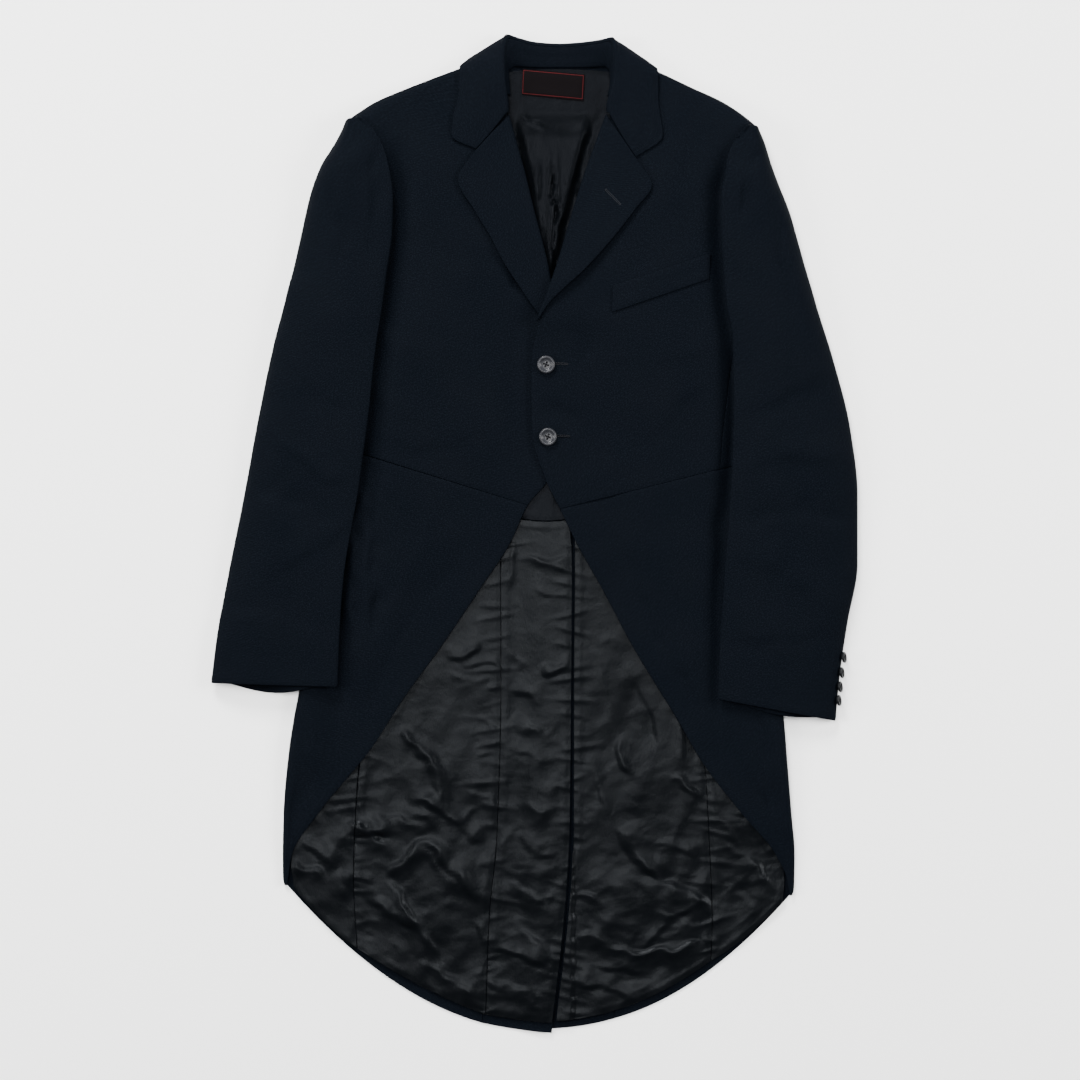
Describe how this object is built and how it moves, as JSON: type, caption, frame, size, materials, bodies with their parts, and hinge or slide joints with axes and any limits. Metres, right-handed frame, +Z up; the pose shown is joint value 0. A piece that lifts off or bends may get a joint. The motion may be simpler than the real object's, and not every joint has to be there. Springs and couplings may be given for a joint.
{
  "type": "morning coat",
  "caption": "Cutaway tailcoat laid flat on its back and buttoned, with notch lapels, long sleeves at its sides and lined tails seen between the open skirts.",
  "frame": {"origin": "middle of the coat's bounding box, on the surface that it lies on", "axes": "+Z up from the surface, +Y from the hem to the collar, +X to the wearer's left; the coat lies on its back, face up"},
  "size_m": [0.699, 1.0794, 0.034],
  "materials": {
    "wool_barathea": "very dark navy-black wool, matt",
    "lining_satin": "grey-black lining satin, soft sheen",
    "horn_button": "dark horn-look button, half gloss",
    "label_weave": "plain dark woven label"
  },
  "bodies": {
    "root": {"back_left": "wool_barathea", "back_right": "wool_barathea", "side_body_left": "wool_barathea", "side_body_right": "wool_barathea", "skirt_left": "wool_barathea", "skirt_right": "wool_barathea", "forepart_left": "wool_barathea", "forepart_right": "wool_barathea", "lapel_left": "wool_barathea", "lapel_right": "wool_barathea", "sleeve_top_left": "wool_barathea", "sleeve_top_right": "wool_barathea", "sleeve_under_left": "wool_barathea", "sleeve_under_right": "wool_barathea", "collar_fall": "wool_barathea", "collar_stand": "wool_barathea", "breast_welt": "wool_barathea", "back_lining": "lining_satin", "tail_lining_centre": "lining_satin", "tail_lining_left": "lining_satin", "tail_lining_right": "lining_satin", "tail_lining_far_left": "lining_satin", "tail_lining_far_right": "lining_satin", "woven_label": "label_weave", "front_button_upper": "horn_button", "front_button_lower": "horn_button", "cuff_button_left_1": "horn_button", "cuff_button_left_2": "horn_button", "cuff_button_left_3": "horn_button", "cuff_button_left_4": "horn_button", "cuff_button_right_1": "horn_button", "cuff_button_right_2": "horn_button", "cuff_button_right_3": "horn_button", "cuff_button_right_4": "horn_button"}
  },
  "joints": []
}
